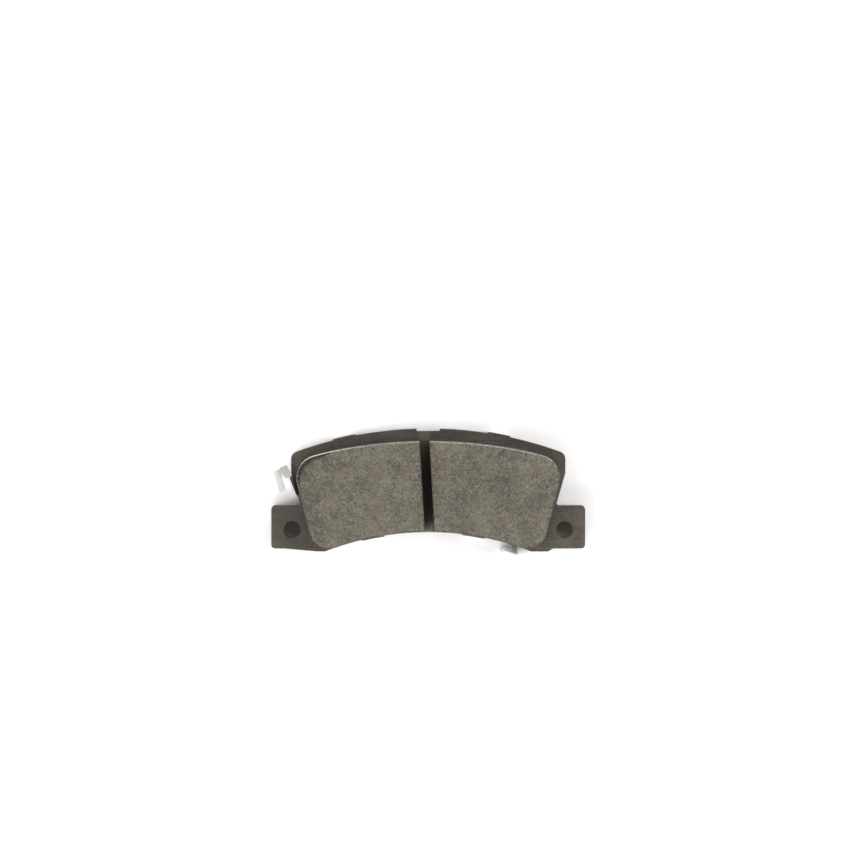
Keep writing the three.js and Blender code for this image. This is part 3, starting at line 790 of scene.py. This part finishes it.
def wear_tree():
    """Pushes points inwards, and stores where the block is broken and where it was scraped."""
    t = Tree("worn_friction_face", {
        "Relief": "Float", "Pores": "Float", "Chips": "Float",
        "Knock": "Vector", "Knock Reach": "Float", "Seed": "Float"})
    given = t.given
    place = t.add("GeometryNodeInputPosition").outputs[0]
    mm = t.vector("SCALE", place, Scale=1 / MM)

    def noise(scale, detail, shift):
        seed = t.math("ADD", given["Seed"], shift)
        node = t.add(
            "ShaderNodeTexNoise", {"noise_dimensions": "4D"},
            Vector=mm, W=seed, Scale=scale, Detail=detail)
        return node.outputs[0]

    relief = t.math("MULTIPLY", noise(1.5, 3.0, 0.0), given["Relief"])
    pores = t.math("MULTIPLY", t.step(noise(0.9, 2.0, 7.0), 0.64, 0.74), given["Pores"])
    rim = t.add("GeometryNodeInputNamedAttribute", {"data_type": "FLOAT"}, Name="rim").outputs[0]
    far = t.math("DIVIDE", t.vector("DISTANCE", mm, given["Knock"]), given["Knock Reach"])
    knocked = t.step(far, 1.0, 0.0)
    scraped = t.step(far, 1.8, 0.4)
    reach = t.math("ADD", t.math("MULTIPLY_ADD", scraped, 0.35, 0.55), t.math("MULTIPLY", knocked, 2.2))
    near = t.step(t.math("DIVIDE", rim, reach), 1.0, 0.35)
    whole = t.math("MULTIPLY", t.step(scraped, 0.02, 0.1), t.step(rim, 0.5, 0.25))
    loose = t.math("ADD", t.math("MULTIPLY", scraped, 0.08), t.math("MULTIPLY", knocked, 0.03))
    ragged = t.math("ADD", noise(1.5, 4.0, 3.0), loose)
    broken = t.math("MULTIPLY", t.step(ragged, 0.50, 0.56), near)
    broken = t.math("MULTIPLY", broken, t.math("SUBTRACT", 1.0, whole))
    chips = t.math("MULTIPLY", broken, given["Chips"])
    depth = t.math("ADD", t.math("ADD", relief, pores), chips)
    normal = t.add("GeometryNodeInputNormal").outputs[0]
    inwards = t.math("MULTIPLY", depth, -MM)
    push = t.vector("SCALE", normal, Scale=inwards)
    above = t.parts(place)["Z"]
    free = t.add("FunctionNodeCompare", {"operation": "GREATER_THAN"}, A=above, B=BOND_LINE)
    shape = given["Geometry"]
    for label, value in (("chipped", broken), ("scraped", scraped)):
        kept = t.add("GeometryNodeStoreNamedAttribute", Geometry=shape, Name=label, Value=value)
        shape = kept.outputs[0]
    moved = t.add(
        "GeometryNodeSetPosition", Geometry=shape, Selection=free.outputs[0], Offset=push)
    t.put(t.result, moved.outputs[0])
    return t


WEAR = wear_tree()
print(WEAR.network.name, len(WEAR.network.nodes), "nodes")

# %% [markdown]
# ## The two friction blocks
# The outline is moulded in one die and the slot is cut between the halves, which gives dust and
# gas a way out. One plain subdivision brings the points to a quarter of a millimetre before the
# wear tree moves them.

# %% Friction blocks
KNOCKED_CORNER = (LEFT_LOW.x / MM + 2.5, LEFT_HIGH.y / MM - 7.5, FACE_Z / MM)
DEPTHS = {"Relief": 0.055, "Pores": 0.10, "Chips": 0.70}  # greatest depths in millimetres
BLOCKS = (  # node, piece, seed, reach of the knock in millimetres
    ("friction_block_left", "lining_left", 11, 12.0),
    ("friction_block_right", "lining_right", 23, 0.01),
)
linings = []
for node, name, seed, knock_reach in BLOCKS:
    block = block_mesh(node, name, seed)
    refine = block.modifiers.new("refine", "SUBSURF")
    refine.subdivision_type = "SIMPLE"
    refine.levels = refine.render_levels = 1
    settle(block)
    knock = {"Knock": KNOCKED_CORNER, "Knock Reach": knock_reach}
    run_tree(block, WEAR, {**DEPTHS, **knock, "Seed": float(seed)})
    smooth(block)
    linings.append(finish_piece(block, node, FRICTION_MIX))

# %% [markdown]
# ## Grains that stand out of the face
# Grinding leaves the hardest grains a few hundredths of a millimetre proud. They are small and
# many, so a scatter is the right tool: random points on the upward faces, one twenty-sided ball
# squashed at each, turned and sized at random from a fixed seed. The balls sit half sunk, below
# the block's nominal height, and are made real before they leave the tree.

# %% The scatter tree
FLATTEST = 0.6  # height of the flattest grain, as a share of the highest
SUNK = -0.4  # how far a grain is moved, as a share of its height


def scatter_tree():
    """Half-sunk grains at random places on the upward faces, away from the rim."""
    t = Tree("scattered_grains", {
        "Per Square Millimetre": "Float", "Smallest": "Float", "Largest": "Float",
        "Height": "Float", "Seed": "Int", "Finish": "Material"})
    given = t.given
    rim = t.add("GeometryNodeInputNamedAttribute", {"data_type": "FLOAT"}, Name="rim").outputs[0]
    normal = t.add("GeometryNodeInputNormal").outputs[0]
    up = t.parts(normal)["Z"]
    allowed = t.math("MULTIPLY", t.step(up, 0.90, 0.93), t.step(rim, 0.45, 0.55))
    points = t.add(
        "GeometryNodeDistributePointsOnFaces", {"distribute_method": "RANDOM"},
        Mesh=given["Geometry"], Selection=t.math("GREATER_THAN", allowed, 0.5),
        Density=t.math("MULTIPLY", given["Per Square Millimetre"], 1 / MM**2), Seed=given["Seed"])
    ball = t.add("GeometryNodeMeshIcoSphere", Radius=1.0, Subdivisions=1)
    small, large = given["Smallest"], given["Largest"]
    flat = t.math("MULTIPLY", given["Height"], FLATTEST)
    low = t.add("ShaderNodeCombineXYZ", X=small, Y=small, Z=flat)
    high = t.add("ShaderNodeCombineXYZ", X=large, Y=large, Z=given["Height"])
    vector = {"data_type": "FLOAT_VECTOR"}
    size = t.add("FunctionNodeRandomValue", vector, _0=low.outputs[0], _1=high.outputs[0], Seed=1)
    turn = t.add("FunctionNodeRandomValue", vector, _0=(0, 0, 0), _1=(0, 0, 2 * math.pi), Seed=2)
    scattered = t.add(
        "GeometryNodeInstanceOnPoints", Points=points.outputs["Points"],
        Instance=ball.outputs["Mesh"], Rotation=turn.outputs[0], Scale=size.outputs[0])
    depth = t.math("MULTIPLY", given["Height"], SUNK)
    sunk = t.add("ShaderNodeCombineXYZ", X=0.0, Y=0.0, Z=depth)
    set_low = t.add(
        "GeometryNodeTranslateInstances", Instances=scattered.outputs[0],
        Translation=sunk.outputs[0], Local_Space=False)
    real = t.add("GeometryNodeRealizeInstances", Geometry=set_low.outputs[0])
    painted = t.add("GeometryNodeSetMaterial", Geometry=real.outputs[0], Material=given["Finish"])
    t.put(t.result, painted.outputs[0])
    return t


SCATTER = scatter_tree()
print(SCATTER.network.name, len(SCATTER.network.nodes), "nodes")

# %% [markdown]
# ## Three kinds of grain
# Pale barytes and quartz, black coke and graphite, and a few bright metal flecks. Each finish
# changes a little from place to place, so two neighbouring grains never match exactly.

# %% Grain finishes and grains
def grain_finish(name, dark, pale, roughness, metallic):
    """A mineral or a metal that changes a little from grain to grain."""
    f = Finish(name)
    colour = f.blend(f.step(f.noise(1.3, 2), 0.35, 0.65), dark, pale)
    return f.done(colour, roughness, f.bump(f.noise(9, 2), 0.01, 0.6), metallic)


# Each kind: dark and pale tone, roughness, metallic, grains to the square millimetre, and the
# smallest and largest radius in millimetres.
GRAINS = (
    ("pale_grains", (0.177, 0.160, 0.126), (0.286, 0.265, 0.218), 0.7, 0.0, 0.45, 0.09, 0.20),
    ("coke_grains", (0.034, 0.031, 0.029), (0.065, 0.057, 0.048), 0.6, 0.0, 0.55, 0.10, 0.28),
    ("metal_flecks", (0.60, 0.56, 0.49), (0.82, 0.79, 0.72), 0.35, 0.25, 0.006, 0.12, 0.30),
)
GRAIN_HEIGHT = 0.05 * MM
GRAIN_SEED = 5
for name, dark, pale, roughness, metallic, density, small, large in GRAINS:
    finish = grain_finish(name, dark, pale, roughness, metallic)
    for number, lining in enumerate(linings):
        piece = run_tree(lining, SCATTER, {
            "Per Square Millimetre": density, "Smallest": small * MM, "Largest": large * MM,
            "Height": GRAIN_HEIGHT, "Seed": GRAIN_SEED + number, "Finish": finish,
        }, lining.name + "_" + name)
        finish_piece(piece, None, finish)

# %% [markdown]
# ## Shims
# The stainless outer shim is a blank with four tabs that are folded up over the plate's edges and
# hold it on. A fold has a radius of about the sheet's thickness, so the outer edges of each fold
# are rounded more than the sheared edges around it. Under it lie a steel core and a rubber film.

# %% Shims
SHEAR = 0.05 * MM
FOLD = 0.34 * MM
TAB_HEIGHT = 2 * MM  # a wall that rises past this is a tab's


def round_edges(solid, chosen, width, segments=3):
    """Rounds the chosen edges of a solid and returns how many there were."""
    edges = [edge for edge in solid.edges if chosen(edge)]
    bmesh.ops.bevel(
        solid, geom=edges, offset=width, offset_type="OFFSET", segments=segments,
        profile=0.5, affect="EDGES", clamp_overlap=True)
    return len(edges)


def is_fold(edge):
    """An edge of the shim's back at the foot of a tab's outer wall."""
    low = all(v.co.z < MERGE for v in edge.verts)
    walls = [face for face in edge.link_faces if abs(face.normal.z) < 0.1]
    return low and any(max(v.co.z for v in face.verts) > TAB_HEIGHT for face in walls)


outer = cad_solid("outer_shim")
print("folds:", round_edges(outer, is_fold, FOLD))
outer_shim = soften(as_object(outer, "outer_shim_sheet"), SHEAR, 2)
finish_piece(outer_shim, "outer_shim", STAINLESS)
core = soften(as_object(cad_solid("inner_shim_steel"), "shim_core"), SHEAR, 2)
finish_piece(core, "inner_shim_steel", PLATED)
film = soften(as_object(cad_solid("inner_shim_rubber"), "shim_film"), SHEAR, 2)
finish_piece(film, "inner_shim_rubber", RUBBER_FILM)

# %% [markdown]
# ## Wear indicators
# Each indicator is blanked from spring strip and folded: a base under the plate, a leg past the
# plate's edge, and a tip that meets the disc when little lining is left. Tumbling takes the burr
# off every edge, so one light bevel all over a copy of the frame's solid is true to it, and the
# gap between leg and plate stays as it is.

# %% Wear indicators
FEELER_EDGE = 0.12 * MM
for node, name in (("side_wear_indicator", "side_feeler"), ("lower_wear_indicator", "lower_feeler")):
    feeler = soften(as_object(cad_solid(node), name), FEELER_EDGE, 3)
    finish_piece(feeler, node, SPRING_STEEL)

# %% [markdown]
# ## Rivets
# Each indicator is held by a rivet set from behind. Its head is flat, with the ring that the
# setting tool leaves. A profile turned about the rivet's axis says all of it.

# %% Turned pieces
TURN_STEPS = 48
SHARP = math.radians(40)


def turned(name, centre, profile):
    """A closed solid of revolution about a vertical axis, from (radius, height) pairs in metres."""
    solid = bmesh.new()
    rings = []
    for radius, z in profile:
        if radius == 0:
            rings.append([solid.verts.new((centre.x, centre.y, z))])
            continue
        angles = [2 * math.pi * i / TURN_STEPS for i in range(TURN_STEPS)]
        rings.append([
            solid.verts.new((centre.x + radius * math.cos(a), centre.y + radius * math.sin(a), z))
            for a in angles])
    for lower, upper in zip(rings, rings[1:]):
        for i in range(TURN_STEPS):
            j = (i + 1) % TURN_STEPS
            around = ((lower, i), (lower, j), (upper, j), (upper, i))
            corners = [ring[k % len(ring)] for ring, k in around]
            solid.faces.new(list(dict.fromkeys(corners)))
    bmesh.ops.recalc_face_normals(solid, faces=solid.faces)
    piece = as_object(solid, name)
    smooth(piece)
    piece.data.set_sharp_from_angle(angle=SHARP)
    return piece


# %% Rivets
# Radii are shares of the head's. Heights are in millimetres: the head's are measured from the
# rivet's back, and the countersunk end's depth from its front.
SHANK = 0.6
SINK = 0.96
SINK_DEPTH = 0.9
HEAD_HEIGHT = 0.5
HEAD = (
    (0, 0.10), (0.42, 0.10), (0.52, 0.02), (0.80, 0), (0.93, 0.07), (1, 0.22),
    (1, HEAD_HEIGHT), (SHANK, HEAD_HEIGHT))


def rivet(node, name):
    """A flat head with a tool ring, a shank, and a countersunk front end."""
    low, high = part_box(node)
    head = (high.x - low.x) / 2
    profile = [(head * share, low.z + rise * MM) for share, rise in HEAD]
    profile += [(head * SHANK, high.z - SINK_DEPTH * MM), (head * SINK, high.z), (0, high.z)]
    piece = turned(name, (low + high) / 2, profile)
    return finish_piece(piece, node, PLATED)


rivet("side_indicator_rivet", "side_rivet")
rivet("lower_indicator_rivet", "lower_rivet")

# %% [markdown]
# ## Floor, light and camera
# A white floor and a light tent stand in for a small studio. The tent is a bright sky, dimmer near
# the floor, with a dark round opening at the top, where the camera looks through: it keeps holes
# and the slot dark and stops flat metal from mirroring a white ceiling. Four softboxes stand round
# the pad. The main one, beyond the plate's outer arc, brightens the walls that face it. The one
# opposite fills the shade, and two small ones light the pad's ends.

# %% Floor
FLOOR_SIZE = 8.0
FLOOR_GAP = 0.02 * MM
bpy.ops.mesh.primitive_plane_add(size=FLOOR_SIZE, location=(0, 0, CAD_BOX[0].z - FLOOR_GAP))
floor = bpy.context.object
floor.name = "studio_floor"
paper = Finish("studio_paper")
cloud = paper.step(paper.noise(0.02, 2), 0.3, 0.7)
tone = paper.blend(cloud, (0.93, 0.93, 0.93), (0.95, 0.95, 0.95))
floor.data.materials.append(paper.done(tone, 0.95, None, 0.0, Specular_IOR_Level=0.1))
floor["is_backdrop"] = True

# %% Light tent
TENT_STRENGTH = 1.54
TENT_COLOUR = (1.0, 0.985, 0.955, 1)
SKIRT_SHARE = 0.2
OPENING_STRENGTH = 0.02
# Heights on a sphere of radius 1: from 7 to 16 degrees above the floor, and from 53 to 38
# degrees off the vertical.
SKIRT_EDGE = (math.sin(math.radians(7)), math.sin(math.radians(16)))
OPENING_EDGE = (math.cos(math.radians(53)), math.cos(math.radians(38)))


def light_tent():
    """A sky of even light that darkens towards the floor and towards an opening overhead."""
    world = bpy.data.worlds.new("light_tent")
    world.use_nodes = True
    sky = Workbench(world.node_tree)
    height = sky.parts(sky.add("ShaderNodeTexCoord").outputs["Generated"])["Z"]
    skirt = sky.step(height, *SKIRT_EDGE, SKIRT_SHARE, 1.0)
    opening = sky.step(height, *OPENING_EDGE, TENT_STRENGTH, OPENING_STRENGTH)
    background = sky.network.nodes["Background"].inputs
    background["Color"].default_value = TENT_COLOUR
    sky.put(background["Strength"], sky.math("MULTIPLY", skirt, opening))
    return world


bpy.context.scene.world = light_tent()
print("tent:", len(bpy.context.scene.world.node_tree.nodes), "nodes")

# %% Softboxes
SOFTBOXES = (  # name, place and width in metres, watts
    ("main_softbox", (0.42, 0.80, 0.62), 0.7, 5.0),
    ("fill_softbox", (-0.50, -0.85, 0.50), 0.8, 8.0),
    ("left_softbox", (-0.82, -0.25, 0.62), 0.35, 4.5),
    ("right_softbox", (0.85, 0.05, 0.62), 0.35, 4.5),
)
for name, place, width, watts in SOFTBOXES:
    data = bpy.data.lights.new(name, "AREA")
    data.size = width
    data.energy = watts
    light = placed(name, data)
    light.location = place
    light.rotation_euler = Vector(place).to_track_quat("Z", "Y").to_euler()
    print(name, watts, "W")
bpy.context.scene.view_settings.view_transform = "Standard"

# %% Camera
CAMERA_TILT = math.radians(2.4)
CAMERA_AIM = Vector((-1.2, 20.7, 8.0)) * MM
FRAME_WIDTH = 315.3 * MM
LENS = 300.0
SENSOR = 36.0
camera_data = bpy.data.cameras.new("camera")
camera_data.lens = LENS
camera_data.sensor_width = SENSOR
camera = placed("camera", camera_data)
distance = FRAME_WIDTH / 2 / (SENSOR / 2 / LENS)
camera.location = CAMERA_AIM + Vector((0, math.sin(CAMERA_TILT), math.cos(CAMERA_TILT))) * distance
camera.rotation_euler = (-CAMERA_TILT, 0, 0)
camera_data.clip_start, camera_data.clip_end = 0.05, 10
bpy.context.scene.camera = camera
print("camera at", tuple(round(c, 3) for c in camera.location))

# %% [markdown]
# ## Sizes
# The finished pieces must fill the same box as the imported model. The difference between the two
# boxes is printed at each end.

# %% Write the sizes and finish
VISUAL_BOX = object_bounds()
for end, seen, cad in zip(("low", "high"), VISUAL_BOX, CAD_BOX):
    print(end, "visual minus frame, mm:", [round((a - b) / MM, 3) for a, b in zip(seen, cad)])
